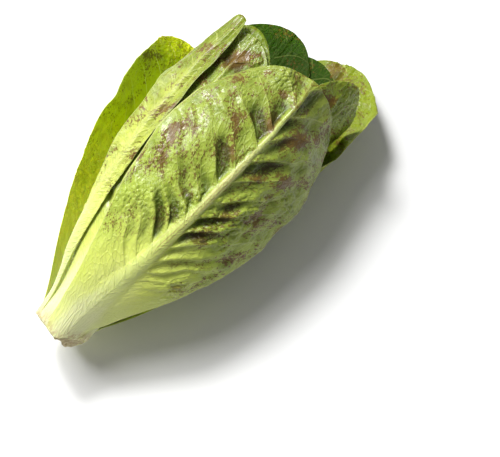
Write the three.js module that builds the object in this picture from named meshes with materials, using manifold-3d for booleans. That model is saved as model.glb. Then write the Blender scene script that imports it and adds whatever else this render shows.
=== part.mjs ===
// A speckled romaine lettuce head, lying on its side as it was cut.
// Millimetres, +Z up. The head runs along +X from its cut stem to its leaf tips, tilted up a little,
// because the leaves make it fatter towards the tips. The origin is on the surface it lies on, at the
// flat spot of its lowest leaf, under the head's weight.
//
// Everything is placed in the head's own cylinder coordinates: t along the axis from the cut face,
// a bearing round it (0 up, 90 towards -Y, 180 down) and a radius r. Each leaf is one sheet over
// (t, bearing), and the leaves are laid from the heart outwards, each clear of what it wraps.
import * as THREE from 'three';
import Module from 'manifold-3d';
import { mergeVertices } from 'three/addons/utils/BufferGeometryUtils.js';

const wasm = await Module();
wasm.setup();

// The head as a whole.
const AXIS_TILT = 8;
const AXIS_HEIGHT_AT_CUT = 35.5;
const REST_T = 102;
const WIDER_ACROSS = 1.16;
const FLATTER_UP = 0.92;
const ROUND_BASE = 45;

// The stem: a butt as wide as the cut, and a core that tapers up inside the head.
const STEM_RADIUS = 17.5;
const STEM_TOP_RADIUS = 3.5;
const STEM_BUTT = 7;
const STEM_LENGTH = 66;
const STEM_SIDES = 28;
const STEM_GAP = 0.6;

// A leaf's outline: its widths as shares of the widest, and how blunt its tip is. The tip's rounding
// is a share of the leaf's length, but no more than a share of its half width.
const WIDEST_AT = 0.68;
const BASE_SHARE = 0.26;
const BASE_SPREAD = 1.3;
const BLUNTNESS = 0.76;
const BLUNT_POWER = 2.4;
const TIP_ROUNDING = 0.1;
const MOST_ROUNDING = 0.45;
const MOST_WRAP = 88;

// A leaf's thickness: a thin blade and a rib that is thick and wide near the stem.
const BLADE = 0.8;
const RIB_FADE = 1.6;
const RIB_SHARE = 0.55;
const RIB_TIP = 2;
const RIB_SLOPE = 3.5;
const RIB_CROWN = 1.15;
const SLOPE_SHARE = 0.45;
const SLOPE_THINNING = 0.85;
const BLADE_COLUMNS = [0.38, 0.72];

// A leaf's margins: where they start to lift and wave, and how many waves they have.
const MARGIN_FROM = 0.4;
const FLARE_FROM = 0.2;
const FLARE_OVER = 0.4;
const RUFFLES = 4.5;

// How a leaf swells from the stem to its full radius.
const INNER_SWELL = 2.6;
const SWELL_LENGTH = 235;

// Rows along a leaf, closer together where it leaves the stem.
const ROWS = [0, 0.03, 0.075, 0.13, 0.2, 0.28, 0.36, 0.44, 0.52, 0.6, 0.68, 0.76, 0.84, 0.92, 1];

// The outer leaves as the head shows them, from the outermost inwards. length is along the axis,
// half is half the greatest width, lean turns the rib round the head towards the tip, flares lift
// the two margins off the head and curl moves the tip out (+) or in (-).
const OUTER_LEAVES = [
  {
    name: 'leaf_floor', bearing: 179, length: 218, radius: 66, half: 57,
    swell: 3.8, lean: 4, flares: [6, 6], curl: 2,
  },
  {
    name: 'leaf_back_left', bearing: -128, length: 203, radius: 61, half: 51,
    swell: 2.4, lean: 8, flares: [0, 5], curl: 3,
  },
  {
    name: 'leaf_front', bearing: 30, length: 210, radius: 63, half: 67,
    swell: 4.1, lean: 15, flares: [-1, 2], curl: -10,
  },
  {
    name: 'leaf_back_right', bearing: 150, length: 258, radius: 57, half: 54,
    swell: 3.5, lean: -1, flares: [10, 4], flareFrom: 0.6, curl: 8,
  },
  {
    name: 'leaf_left', bearing: -57, length: 214, radius: 52, half: 12,
    swell: 2.2, lean: 28, flares: [-1, 1], curl: -4,
  },
  {
    name: 'leaf_right', bearing: 104, length: 184, radius: 57, half: 50,
    swell: 3.6, lean: 3, flares: [2, 2], curl: -3,
  },
  {
    name: 'leaf_front_left', bearing: -19, length: 202, radius: 49, half: 38,
    swell: 2.4, lean: 8, flares: [3, 1], curl: -6,
  },
  {
    name: 'leaf_upper_right', bearing: 77, length: 217, radius: 50, half: 38,
    swell: 2.6, lean: 0, flares: [2, 5], curl: 7,
  },
  {
    name: 'leaf_back', bearing: 166, length: 230, radius: 47, half: 44,
    swell: 2.6, lean: -4, flares: [0, 0], curl: 2,
  },
  {
    name: 'leaf_top', bearing: -160, length: 234, radius: 45, half: 40,
    swell: 2.6, lean: -4, flares: [2, 4], curl: 2,
  },
];

// The leaves inside those follow the stem's spiral, each smaller and set higher.
const INNER_LEAVES = 9;
const SPIRAL = 137.5;
const INNER_BEARING = -20.5;
const FIRST_INNER = { length: 198, radius: 40, half: 39 };
const LAST_INNER = { length: 152, radius: 16, half: 27 };
const ROOTS = [3.5, 52];
const RIBS = [3.2, 1.6];
const WAVES = [2.6, 1.6];

// The lowest leaves lie on each other, each this much higher than the one under it.
const LIFT_STEP = 2.1;
const LIFT_LEAVES = 5;
const INNER_LIFT_STEP = 0.8;
const LIFT_OVER = [10, 90];

// The heart: small leaves on a slim core, all one piece.
const HEART_LEAVES = 5;
const HEART_CORE = { from: STEM_LENGTH + STEM_GAP, to: 168, radius: 3.2 };
const FIRST_HEART = { root: 92, length: 112, radius: 6, half: 15 };
const LAST_HEART = { root: 74, length: 140, radius: 11, half: 20 };
const HEART_BEARING = 20;
const HEART_SINK = 0.9;
const HEART_SIDES = 10;

// The air between one leaf and the next, and the share of a blade's half thickness that a slant adds.
const CLEARANCE = 1.1;
const SLANT = 1.2;

// The grid on which the head's reach so far is kept, and how closely a leaf's cells are tried on it.
const T_STEP = 1.5;
const T_CELLS = 200;
const BEARING_STEP = 1.5;
const BEARING_CELLS = 360 / BEARING_STEP;
const COVER_STEPS = 14;
const PUSH_STEPS = 8;
const PUSH_PASSES = 5;
const LEAST_FACING = 0.5;
const LEAST_HOLD = 0.2;
const FULL_HOLD = 0.3;

// Outer-face points of the lowest leaf that are this near the surface lie flat on it.
const FLAT_SPOT = 0.4;
const LOWEST_LEAF = 'leaf_floor';

const RAD = Math.PI / 180;
const COS_TILT = Math.cos(AXIS_TILT * RAD);
const SIN_TILT = Math.sin(AXIS_TILT * RAD);

const mix = (a, b, s) => a + (b - a) * s;
const clamp = (x, low, high) => Math.min(high, Math.max(low, x));
const ease = (low, high, x) => {
  const s = clamp((x - low) / (high - low), 0, 1);
  return s * s * (3 - 2 * s);
};

// The size of one leaf in a run of them, at a share s of the run.
function blendSizes(first, last, s) {
  return Object.fromEntries(Object.keys(first).map((key) => [key, mix(first[key], last[key], s)]));
}

// A point of the head's cylinder coordinates in the part's own frame.
function place(t, bearing, r) {
  const up = Math.cos(bearing * RAD) * r;
  const side = Math.sin(bearing * RAD) * r;
  const x = (t - REST_T) * COS_TILT - up * SIN_TILT - AXIS_AT_REST * SIN_TILT;
  return new THREE.Vector3(x, -side, AXIS_HEIGHT_AT_CUT + t * SIN_TILT + up * COS_TILT);
}
// Moves the head along X so that the point straight below the axis at REST_T is at X = 0.
const AXIS_AT_REST = (AXIS_HEIGHT_AT_CUT + REST_T * SIN_TILT) / COS_TILT;

function stemRadius(t) {
  const s = clamp((t - STEM_BUTT) / (STEM_LENGTH - STEM_BUTT), 0, 1);
  return mix(STEM_RADIUS, STEM_TOP_RADIUS, s);
}

// The head's section is round at the stem and an oval, wider than it is high, further up.
function section(bearing, pastRoot) {
  const oval = 1 / Math.hypot(Math.cos(bearing * RAD) / FLATTER_UP, Math.sin(bearing * RAD) / WIDER_ACROSS);
  return mix(1, oval, ease(0, ROUND_BASE, pastRoot));
}

// The radius at which a point reaches a height above the surface that the head lies on.
function floorRadius(t, bearing, height) {
  const down = -Math.cos(bearing * RAD) * COS_TILT;
  return down < 0.05 ? Infinity : (AXIS_HEIGHT_AT_CUT + t * SIN_TILT - height) / down;
}

// How far out the head already reaches, cell by cell.
class Reach {
  constructor() {
    this.cells = new Float64Array(T_CELLS * BEARING_CELLS);
  }

  cell(i, j) {
    const row = clamp(i, 0, T_CELLS - 1);
    return row * BEARING_CELLS + (((j % BEARING_CELLS) + BEARING_CELLS) % BEARING_CELLS);
  }

  raise(t, bearing, r) {
    const cell = this.cell(Math.round(t / T_STEP), Math.round(bearing / BEARING_STEP));
    this.cells[cell] = Math.max(this.cells[cell], r);
  }

  at(t, bearing) {
    return this.cells[this.cell(Math.round(t / T_STEP), Math.round(bearing / BEARING_STEP))];
  }

  coverStem() {
    for (let t = 0; t < STEM_LENGTH; t += T_STEP) {
      const held = stemRadius(t) - CLEARANCE / 2;
      for (let bearing = 0; bearing < 360; bearing += BEARING_STEP) this.raise(t, bearing, held);
    }
  }

  cover(grid) {
    eachSpot(grid, COVER_STEPS, ({ t, bearing, r, halfThick }) => {
      this.raise(t, bearing, r + SLANT * halfThick);
      this.raise(t - T_STEP, bearing, r + SLANT * halfThick);
    });
  }
}

// Calls visit with points spread over each cell of a grid, its four corners and their shares in it.
function eachSpot(grid, steps, visit) {
  for (let i = 0; i + 1 < grid.length; i++) {
    for (let j = 0; j + 1 < grid[i].length; j++) {
      const corners = [grid[i][j], grid[i][j + 1], grid[i + 1][j], grid[i + 1][j + 1]];
      for (let m = 0; m <= steps; m++) {
        for (let n = 0; n <= steps; n++) {
          const [x, y] = [m / steps, n / steps];
          const shares = [(1 - x) * (1 - y), x * (1 - y), (1 - x) * y, x * y];
          const sum = (value) => corners.reduce((so, corner, c) => so + value(corner) * shares[c], 0);
          const up = sum((p) => p.r * Math.cos(p.bearing * RAD));
          const side = sum((p) => p.r * Math.sin(p.bearing * RAD));
          const spot = { t: sum((p) => p.t), bearing: Math.atan2(side, up) / RAD, r: Math.hypot(up, side) };
          visit({ ...spot, halfThick: sum((p) => p.halfThick) }, corners, shares);
        }
      }
    }
  }
}

// Half the leaf's width as a share of its widest, at a share u of its length.
function outline(u) {
  if (u < WIDEST_AT) {
    return mix(BASE_SHARE, 1, Math.sin((Math.PI / 2) * (u / WIDEST_AT) ** BASE_SPREAD));
  }
  return Math.sqrt(1 - (BLUNTNESS * (u - WIDEST_AT) / (1 - WIDEST_AT)) ** BLUNT_POWER);
}

// Columns across a leaf, from -1 to 1: the rib's two edges, its slopes, and the blade to the margins.
function columnsAt(u, leaf) {
  const width = leaf.half * outline(u);
  const rib = mix(RIB_SHARE * width, Math.min(RIB_TIP, RIB_SHARE * width), ease(0, 0.5, u));
  const slope = Math.min(rib + RIB_SLOPE, mix(rib, width, SLOPE_SHARE));
  const blade = BLADE_COLUMNS.map((share) => mix(slope, width, share));
  const side = [rib, slope, ...blade, width].map((w) => w / width);
  return [...side.map((c) => -c).reverse(), 0, ...side];
}

// The thickness at each of those columns. The rib thins to a lip at its root.
function thicknesses(u, leaf) {
  const rib = BLADE + leaf.rib * (1 - u) ** RIB_FADE * ease(-0.04, 0.075, u);
  const side = [rib, mix(rib, BLADE, SLOPE_THINNING), BLADE, BLADE, BLADE];
  return [...side.slice().reverse(), mix(BLADE, rib, RIB_CROWN), ...side];
}

// The radius of a leaf's rib before its section is made oval.
function swollenRadius(t, leaf) {
  const grown = clamp((t - leaf.root) / SWELL_LENGTH, 0, 1);
  return mix(leaf.rootRadius, leaf.radius, 1 - (1 - grown) ** leaf.swell);
}

// The radius that a leaf takes where nothing is in its way.
function freeRadius(u, v, t, bearing, leaf) {
  const edge = Math.max(0, Math.abs(v) - MARGIN_FROM) / (1 - MARGIN_FROM);
  const flared = ease(leaf.flareFrom, leaf.flareFrom + FLARE_OVER, u);
  const flare = leaf.flares[v < 0 ? 0 : 1] * edge ** 2 * flared;
  const turns = RUFFLES * u + leaf.phase + v / 3;
  const wave = leaf.wave * edge ** 2 * ease(0.2, 0.5, u) * Math.sin(2 * Math.PI * turns);
  const tip = leaf.curl * ease(0.66, 1, u) ** 2;
  return swollenRadius(t, leaf) * section(bearing, t - leaf.root) + flare + wave + tip;
}

// Where a leaf's point lies along the head and round it, with its width wrapped round its radius.
function leafPoint(u, v, leaf) {
  const rounding = Math.min(TIP_ROUNDING * leaf.length, MOST_ROUNDING * leaf.half);
  const t = leaf.root + leaf.length * u - rounding * ease(0.6, 1, u) * v * v;
  const local = swollenRadius(t, leaf) * section(leaf.bearing, t - leaf.root);
  const turn = (v * leaf.half * outline(u)) / local / RAD;
  return { t, bearing: leaf.bearing + leaf.lean * u + MOST_WRAP * Math.tanh(turn / MOST_WRAP) };
}

// A leaf's middle surface, row by row, with nothing in its way but the surface under the head.
function freeGrid(leaf) {
  return ROWS.map((u, i) => {
    const thick = thicknesses(u, leaf);
    return columnsAt(u, leaf).map((v, j) => {
      const { t, bearing } = leafPoint(u, v, leaf);
      const halfThick = thick[j] / 2;
      const floor = floorRadius(t, bearing, leaf.lift * ease(...LIFT_OVER, t) + halfThick);
      const r = Math.min(freeRadius(u, v, t, bearing, leaf), floor);
      return { t, bearing, r, halfThick, floor, rooted: i === 0 };
    });
  });
}

// A leaf's middle surface, pushed out wherever the head so far is in its way.
function layLeaf(leaf, reach) {
  const grid = freeGrid(leaf);
  for (let pass = 0; pass < PUSH_PASSES; pass++) {
    eachSpot(grid, PUSH_STEPS, ({ t, bearing, r, halfThick }, corners, shares) => {
      const held = reach.at(t, bearing);
      const short = held + CLEARANCE + SLANT * halfThick - r;
      if (!held || short <= 0) return;
      const free = corners.map((corner, c) => (corner.rooted ? 0 : shares[c]));
      const total = free.reduce((sum, share) => sum + share ** 2, 0);
      if (total < LEAST_HOLD) return;
      corners.forEach((corner, c) => {
        const raised = corner.r + (short * free[c]) / Math.max(total, FULL_HOLD);
        corner.r = Math.min(raised, Math.max(corner.r, corner.floor));
      });
    });
  }
  reach.cover(grid);
  return grid;
}

// How much further a blade reaches along the radius than across itself, at a point of its middle surface.
function slantAt(grid, middle, i, j) {
  const along = middle[Math.min(grid.length - 1, i + 1)][j].clone().sub(middle[Math.max(0, i - 1)][j]);
  const across = middle[i][Math.min(grid[i].length - 1, j + 1)].clone().sub(middle[i][Math.max(0, j - 1)]);
  const { t, bearing, r } = grid[i][j];
  const outwards = place(t, bearing, r + 1).sub(middle[i][j]);
  return 1 / Math.max(LEAST_FACING, across.cross(along).normalize().dot(outwards));
}

// A closed blade round a middle surface: an outer face, an inner face and the edge between them.
function bladeGeometry(grid, lowest) {
  const rows = grid.length;
  const columns = grid[0].length;
  const middle = grid.map((row) => row.map((p) => place(p.t, p.bearing, p.r)));
  const positions = [];
  for (const side of [1, -1]) {
    for (let i = 0; i < rows; i++) {
      for (let j = 0; j < columns; j++) {
        const { t, bearing, r, halfThick } = grid[i][j];
        const p = place(t, bearing, r + side * halfThick * slantAt(grid, middle, i, j));
        if (lowest && side === 1 && p.z < FLAT_SPOT) p.z = 0;
        positions.push(p.x, p.y, p.z);
      }
    }
  }
  const at = (i, j) => i * columns + j;
  const inner = rows * columns;
  const index = [];
  for (let i = 0; i + 1 < rows; i++) {
    for (let j = 0; j + 1 < columns; j++) {
      const [a, b, c, d] = [at(i, j), at(i, j + 1), at(i + 1, j + 1), at(i + 1, j)];
      index.push(a, b, c, a, c, d);
      index.push(inner + a, inner + c, inner + b, inner + a, inner + d, inner + c);
    }
  }
  const wall = (a, b) => index.push(a, inner + a, inner + b, a, inner + b, b);
  for (let j = 0; j + 1 < columns; j++) {
    wall(at(0, j), at(0, j + 1));
    wall(at(rows - 1, j + 1), at(rows - 1, j));
  }
  for (let i = 0; i + 1 < rows; i++) {
    wall(at(i + 1, 0), at(i, 0));
    wall(at(i, columns - 1), at(i + 1, columns - 1));
  }
  const geometry = new THREE.BufferGeometry();
  geometry.setAttribute('position', new THREE.Float32BufferAttribute(positions, 3));
  geometry.setIndex(index);
  return geometry;
}

// A body round the head's axis, from [t, r] pairs that start and end on it.
function turnedGeometry(profile, sides) {
  const geometry = new THREE.LatheGeometry(profile.map(([t, r]) => new THREE.Vector2(r, t)), sides);
  const up = place(0, 0, 1).sub(place(0, 0, 0));
  const side = place(0, 90, 1).sub(place(0, 0, 0));
  const along = place(1, 0, 0).sub(place(0, 0, 0));
  const frame = new THREE.Matrix4().makeBasis(side, along, up).setPosition(place(0, 0, 0));
  return geometry.applyMatrix4(frame);
}

function toSolid(geometry) {
  const bare = geometry.clone();
  bare.deleteAttribute('normal');
  bare.deleteAttribute('uv');
  const merged = mergeVertices(bare, 1e-4);
  return new wasm.Manifold(new wasm.Mesh({
    numProp: 3,
    vertProperties: merged.attributes.position.array,
    triVerts: new Uint32Array(merged.index.array),
  }));
}

function fromSolid(solid) {
  const mesh = solid.getMesh();
  const geometry = new THREE.BufferGeometry();
  geometry.setAttribute('position', new THREE.BufferAttribute(mesh.vertProperties, 3));
  geometry.setIndex(new THREE.BufferAttribute(mesh.triVerts, 1));
  return geometry;
}

// The stem, with the cut face's edge broken a little.
function stemGeometry() {
  return turnedGeometry([
    [0, 0], [0, STEM_RADIUS - 2.5], [1.8, STEM_RADIUS - 0.6], [STEM_BUTT, STEM_RADIUS],
    [STEM_LENGTH - 4, stemRadius(STEM_LENGTH - 4)], [STEM_LENGTH, STEM_TOP_RADIUS - 1.5], [STEM_LENGTH, 0],
  ], STEM_SIDES);
}

// The heart's leaves grow into each other and into its core, so they are joined as they lie.
function heartGeometry(reach) {
  const { from, to, radius } = HEART_CORE;
  const middle = mix(from, to, 0.6);
  const core = [[from, 0], [from, radius * 0.7], [from + 10, radius], [middle, radius * 0.8], [to, 0]];
  let heart = toSolid(turnedGeometry(core, HEART_SIDES));
  for (let k = 0; k < HEART_LEAVES; k++) {
    const size = blendSizes(FIRST_HEART, LAST_HEART, k / (HEART_LEAVES - 1));
    const grid = freeGrid({
      ...size,
      bearing: HEART_BEARING + SPIRAL * k,
      swell: INNER_SWELL,
      lean: 8,
      flares: [0.5, 1.5],
      flareFrom: FLARE_FROM,
      curl: 1,
      rib: 1.2,
      wave: 1,
      phase: 0.3 * k,
      lift: 0,
      rootRadius: radius - HEART_SINK,
    });
    reach.cover(grid);
    heart = heart.add(toSolid(bladeGeometry(grid)));
  }
  const bodies = heart.decompose();
  return fromSolid(bodies.reduce((largest, body) => (body.volume() > largest.volume() ? body : largest)));
}

// Every large leaf, from the outermost to the innermost, with what its place in the order decides.
function leafList() {
  const total = OUTER_LEAVES.length + INNER_LEAVES;
  const inner = Array.from({ length: INNER_LEAVES }, (_, k) => ({
    ...blendSizes(FIRST_INNER, LAST_INNER, k / (INNER_LEAVES - 1)),
    name: `leaf_inner_${String(k + 1).padStart(2, '0')}`,
    bearing: (INNER_BEARING + SPIRAL * k) % 360,
    swell: INNER_SWELL,
    lean: 6 * Math.sin(2.4 * k),
    flares: [2.5 + 1.5 * Math.sin(3.1 * k), 2.5 + 1.5 * Math.cos(1.7 * k)],
    curl: -2 + 3 * Math.sin(1.9 * k),
  }));
  return [...OUTER_LEAVES, ...inner].map((leaf, k) => {
    const s = k / (total - 1);
    const root = mix(...ROOTS, s);
    const rib = mix(...RIBS, s);
    return {
      flareFrom: FLARE_FROM,
      ...leaf,
      root,
      rib,
      rootRadius: stemRadius(root) + STEM_GAP + (BLADE + rib) / 2,
      wave: mix(...WAVES, s),
      phase: (0.37 * k) % 1,
      lift: LIFT_STEP * Math.min(k, LIFT_LEAVES) + INNER_LIFT_STEP * Math.max(0, k - LIFT_LEAVES),
    };
  });
}

const leafMaterial = new THREE.MeshStandardMaterial({ color: 0x9dbb55, roughness: 0.45, metalness: 0 });
const heartMaterial = new THREE.MeshStandardMaterial({ color: 0xc9d67a, roughness: 0.5, metalness: 0 });
const stemMaterial = new THREE.MeshStandardMaterial({ color: 0xe9ebc4, roughness: 0.55, metalness: 0 });

const head = new THREE.Group();
function addPiece(name, geometry, material) {
  const mesh = new THREE.Mesh(geometry, material);
  mesh.name = name;
  head.add(mesh);
}

const reach = new Reach();
reach.coverStem();
addPiece('stem', stemGeometry(), stemMaterial);
addPiece('heart', heartGeometry(reach), heartMaterial);
for (const leaf of leafList().reverse()) {
  const grid = layLeaf(leaf, reach);
  addPiece(leaf.name, bladeGeometry(grid, leaf.name === LOWEST_LEAF), leafMaterial);
}

export default head;
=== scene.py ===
"""A speckled romaine lettuce head lying on its side: its fine leaves, its stump, the camera and the light."""

import math

import bpy
import numpy as np
from mathutils import Matrix, Vector
from mathutils.bvhtree import BVHTree


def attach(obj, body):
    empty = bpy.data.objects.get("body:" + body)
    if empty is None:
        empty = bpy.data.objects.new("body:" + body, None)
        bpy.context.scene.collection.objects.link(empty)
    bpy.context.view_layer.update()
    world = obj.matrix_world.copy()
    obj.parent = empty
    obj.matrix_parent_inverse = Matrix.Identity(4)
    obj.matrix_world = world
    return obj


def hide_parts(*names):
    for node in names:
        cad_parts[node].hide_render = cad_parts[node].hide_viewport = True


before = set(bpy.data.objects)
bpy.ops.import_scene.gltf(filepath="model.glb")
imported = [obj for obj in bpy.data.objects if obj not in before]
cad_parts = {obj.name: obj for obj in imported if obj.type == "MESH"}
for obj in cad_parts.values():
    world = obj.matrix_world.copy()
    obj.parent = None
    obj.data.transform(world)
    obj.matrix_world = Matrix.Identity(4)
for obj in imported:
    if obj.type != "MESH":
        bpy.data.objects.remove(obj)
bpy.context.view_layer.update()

MM = 0.001

# The head's own cylinder coordinates, in millimetres and degrees: t along its axis from the cut face,
# a bearing round it (0 up, 90 towards -Y, 180 down) and a radius. The head is wider than it is high.
AXIS_TILT = math.radians(8)
AXIS_HEIGHT_AT_CUT = 35.5
REST_T = 102
COS_TILT = math.cos(AXIS_TILT)
SIN_TILT = math.sin(AXIS_TILT)
AXIS_AT_REST = (AXIS_HEIGHT_AT_CUT + REST_T * SIN_TILT) / COS_TILT
WIDER_ACROSS = 1.16
FLATTER_UP = 0.92
ROUND_BASE = 45

# The stem: a butt as wide as the cut, and a core that tapers up inside the head. STEM_GAP is the air to
# the leaves round it. The cut has a pit in its middle, which ends at PIT_FLOOR, and a ring of vessels at
# the share VESSELS of its radius. The last three are how many points go round, along and across it.
STEM_RADIUS = 17.5
STEM_TOP_RADIUS = 3.5
STEM_BUTT = 7
STEM_LENGTH = 66
STEM_GAP = 0.6
PIT_FLOOR = 0.9
VESSELS = 0.62
STEM_ROUND = 144
STEM_ROWS = 44
FACE_ROWS = 22

# The solid leaves: outlines, ribs and how they swell from the stem.
SWELL_LENGTH = 235
WIDEST_AT = 0.68
BASE_SHARE = 0.26
BASE_SPREAD = 1.3
BLUNTNESS = 0.76
BLUNT_POWER = 2.4
TIP_ROUNDING = 0.1
MOST_ROUNDING = 0.45
MOST_WRAP = 88
SOLID_BLADE = 0.8
ROWS = np.array([0, 0.03, 0.075, 0.13, 0.2, 0.28, 0.36, 0.44, 0.52, 0.6, 0.68, 0.76, 0.84, 0.92, 1])
COLUMNS = np.array([-1, -0.8, -0.6, -0.42, -0.26, -0.12, 0, 0.12, 0.26, 0.42, 0.6, 0.8, 1])
SPIRAL = 137.5
ROOTS = (3.5, 52)
RIBS = (3.2, 1.6)

# The finer blade: its thickness, the share of that left at its margin, and its gap to the leaf inside it.
BLADE = 0.55
MARGIN_THINNING = 0.45
GAP = 0.25

# Each outer leaf, from the outermost inwards: where it lies, as the solid one does, and its looks.
# hollows are the depths between veins on its two halves, grid is rows by columns, look is the material,
# speckle is how many maroon specks it has, shown is how much its rib stands out, unrest is how much its
# blade swells and wrinkles, lift and gap hold it off the leaf inside it, and fold is where a fold along
# it lies, how deep and how wide. A patch (u, v, length, width, strength) is a maroon one that lies
# along the veins. PLAIN is what a leaf has where it says nothing else.
OUTER_LEAVES = [
    dict(name="leaf_floor", bearing=179, length=218, radius=66, half=57, swell=3.8, lean=4,
         hollows=(0.7, 0.7), grid=(120, 72), look="leaf_outer", speckle=0.5),
    dict(name="leaf_back_left", bearing=-128, length=203, radius=61, half=51, swell=2.4, lean=8,
         hollows=(0.7, 0.8), grid=(180, 100), look="leaf_sunlit", speckle=0.45,
         patches=[(0.90, 0.62, 34, 20, 0.7), (0.96, 0.15, 34, 16, 0.8), (0.75, -0.6, 30, 14, 0.5)]),
    dict(name="leaf_front", bearing=30, length=210, radius=63, half=67, swell=4.1, lean=15,
         hollows=(2.8, 4.6), grid=(260, 170), look="leaf_outer", speckle=0.6, lift=2.2,
         patches=[(0.60, -0.72, 14, 9, 1.3), (0.60, -0.86, 9, 7, 1.0), (0.59, -0.56, 10, 5, 1.0),
                  (0.70, -0.76, 16, 5, 1.0), (0.51, -0.61, 20, 4, 0.9), (0.62, -0.47, 14, 4, 1.0),
                  (0.47, -0.74, 12, 5, 0.8), (0.74, -0.30, 20, 5, 1.2), (0.68, -0.18, 12, 4, 1.0),
                  (0.80, -0.04, 12, 5, 1.1), (0.84, 0.28, 20, 8, 1.5), (0.90, 0.50, 16, 7, 1.2),
                  (0.72, 0.45, 16, 7, 1.4), (0.58, 0.48, 10, 6, 1.0), (0.92, -0.70, 12, 8, 0.8),
                  (0.95, -0.50, 10, 6, 0.9), (0.91, -0.18, 8, 5, 1.1), (0.42, 0.20, 14, 8, 0.9),
                  (0.26, 0.66, 16, 5, 0.6), (0.40, 0.62, 20, 5, 0.8), (0.50, -0.95, 26, 4, 0.9),
                  (0.34, 0.85, 18, 6, 0.7), (0.46, 0.78, 18, 8, 0.8), (0.50, 0.22, 14, 6, 0.7),
                  (0.62, 0.75, 18, 8, 0.8), (0.66, 0.18, 12, 4, 0.9), (0.36, -0.62, 14, 6, 0.7),
                  (0.31, 0.35, 12, 6, 0.6), (0.86, -0.42, 9, 5, 0.9), (0.80, 0.72, 16, 8, 0.9)]),
    dict(name="leaf_back_right", bearing=150, length=258, radius=57, half=54, swell=3.5, lean=-1,
         hollows=(2.6, 2.4), grid=(200, 120), look="leaf_far", speckle=0.7, unrest=1.7, gap=0.9,
         patches=[(0.97, 0.20, 20, 12, 0.9), (0.88, 0.70, 20, 10, 0.8)]),
    dict(name="leaf_left", bearing=-57, length=214, radius=52, half=12, swell=2.2, lean=28,
         hollows=(0.6, 0.6), grid=(200, 56), look="leaf_strip", speckle=0.6, shown=0.25,
         fold=(4.5, 1.6, 1.6),
         patches=[(0.62, 0.4, 24, 5, 1.0), (0.88, 0.3, 24, 5, 1.2), (0.45, 0.8, 20, 3, 0.8)]),
    dict(name="leaf_right", bearing=104, length=184, radius=57, half=50, swell=3.6, lean=3,
         hollows=(1.6, 1.4), grid=(140, 90), look="leaf_outer", speckle=0.7),
    dict(name="leaf_front_left", bearing=-19, length=202, radius=49, half=38, swell=2.4, lean=8,
         hollows=(1.5, 2.2), grid=(190, 100), look="leaf_pale", speckle=0.7, shown=0.6,
         patches=[(0.91, 0.05, 16, 9, 1.7), (0.87, -0.30, 12, 6, 1.2), (0.79, -0.22, 12, 6, 1.2),
                  (0.76, 0.20, 10, 7, 1.3), (0.96, 0.35, 10, 6, 1.0)]),
    dict(name="leaf_upper_right", bearing=77, length=217, radius=50, half=38, swell=2.6, lean=0,
         hollows=(1.3, 1.4), grid=(160, 90), look="leaf_shade", speckle=0.7, shown=0.5,
         patches=[(0.93, -0.50, 14, 9, 1.1), (0.84, -0.10, 14, 6, 0.9)]),
    dict(name="leaf_back", bearing=166, length=230, radius=47, half=44, swell=2.6, lean=-4,
         hollows=(0.8, 0.8), grid=(130, 70), look="leaf_dark_and_painted_shade", speckle=0.6, gap=0.8),
    dict(name="leaf_top", bearing=-160, length=234, radius=45, half=40, swell=2.6, lean=-4,
         hollows=(0.8, 0.8), grid=(150, 90), look="leaf_dark_and_painted_shade", speckle=0.4, shown=0.3, unrest=0.7),
]
PLAIN = dict(lift=0.0, gap=GAP, shown=1.0, fold=None, patches=(), unrest=1.0)

# How much higher over the floor each leaf has to stay than the one outside it, for the first few, and
# how thick a leaf stays where it is pressed flat.
LEAF_OVER_FLOOR = 0.4
MOST_STEPS_OVER_FLOOR = 6
PRESSED_BLADE = 0.3

# The leaves inside those follow the stem's spiral, each smaller.
INNER_LEAVES = 9
INNER_BEARING = -20.5
FIRST_INNER = dict(length=198, radius=40, half=39)
LAST_INNER = dict(length=152, radius=16, half=27)
INNER_SWELL = 2.6
INNER_GRID = (96, 48)

# The heart's small leaves.
HEART_LEAVES = 5
FIRST_HEART = dict(root=92, length=112, radius=6, half=15)
LAST_HEART = dict(root=74, length=140, radius=11, half=20)
HEART_BEARING = 20
HEART_ROOT_RADIUS = 2.3
HEART_GRID = (64, 36)

# How the finer blade's points crowd to its root and its rib, how softly it comes to rest on the leaf
# inside it, its rib, its veins, and the heights of what lies between them. HOLLOW_SCALE is about the
# greatest value of the curve from vein to vein. The noise of a blade's right half is moved away from
# the left one's, and each leaf's away from the next one's.
ROW_CROWDING = 1.02
COLUMN_CROWDING = 1.25
LYING_SOFTNESS = 0.5
RIB_WIDTH = 19
VEIN_SPACING = 6.5
VEIN_WIDENING = 0.08
VEIN_RISE = 1.1
VEIN_SHIFT = 0.43
HOLLOW_SCALE = 0.255
DEEP_HOLLOW = 2.6
PILLOW_SIZE = 6.0
PILLOW_HEIGHT = 0.55
SMALL_PILLOW_SIZE = 3.6
SMALL_PILLOW_HEIGHT = 0.7
CREASE_HEIGHT = 0.9
BUCKLE_HEIGHT = 0.5
SWELL_HEIGHT = 1.4
RIGHT_HALF = 5.0
NEXT_LEAF = 23.7

# The camera: it looks down on the lying head, with the stem at the lower left.
PHOTO_SIZE = (500, 457)
CUT_IN_PHOTO = (62, 328)
MM_PER_PIXEL = 0.66
CAMERA_RIGHT = Vector((0.616, -0.788, 0.0))
CAMERA_BACK = Vector((-0.2695, -0.2106, 0.940)).normalized()
CAMERA_DISTANCE = 0.9
FRAMED_T = 130

# The lamps, the sky and the surface under the head, in metres and watts.
KEY_LIGHT = dict(distance=1.3, size=0.9, power=17)
GLINT_LIGHT = dict(distance=1.25, size=0.3, power=11)
SKY_STRENGTH = 0.24
FLOOR_HALF = 3.0
FLOOR_DROP = 0.0002


def mix(a, b, s):
    return a + (b - a) * s


def ease(low, high, x):
    s = np.clip((np.asarray(x, float) - low) / (high - low), 0, 1)
    return s * s * (3 - 2 * s)


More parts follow.
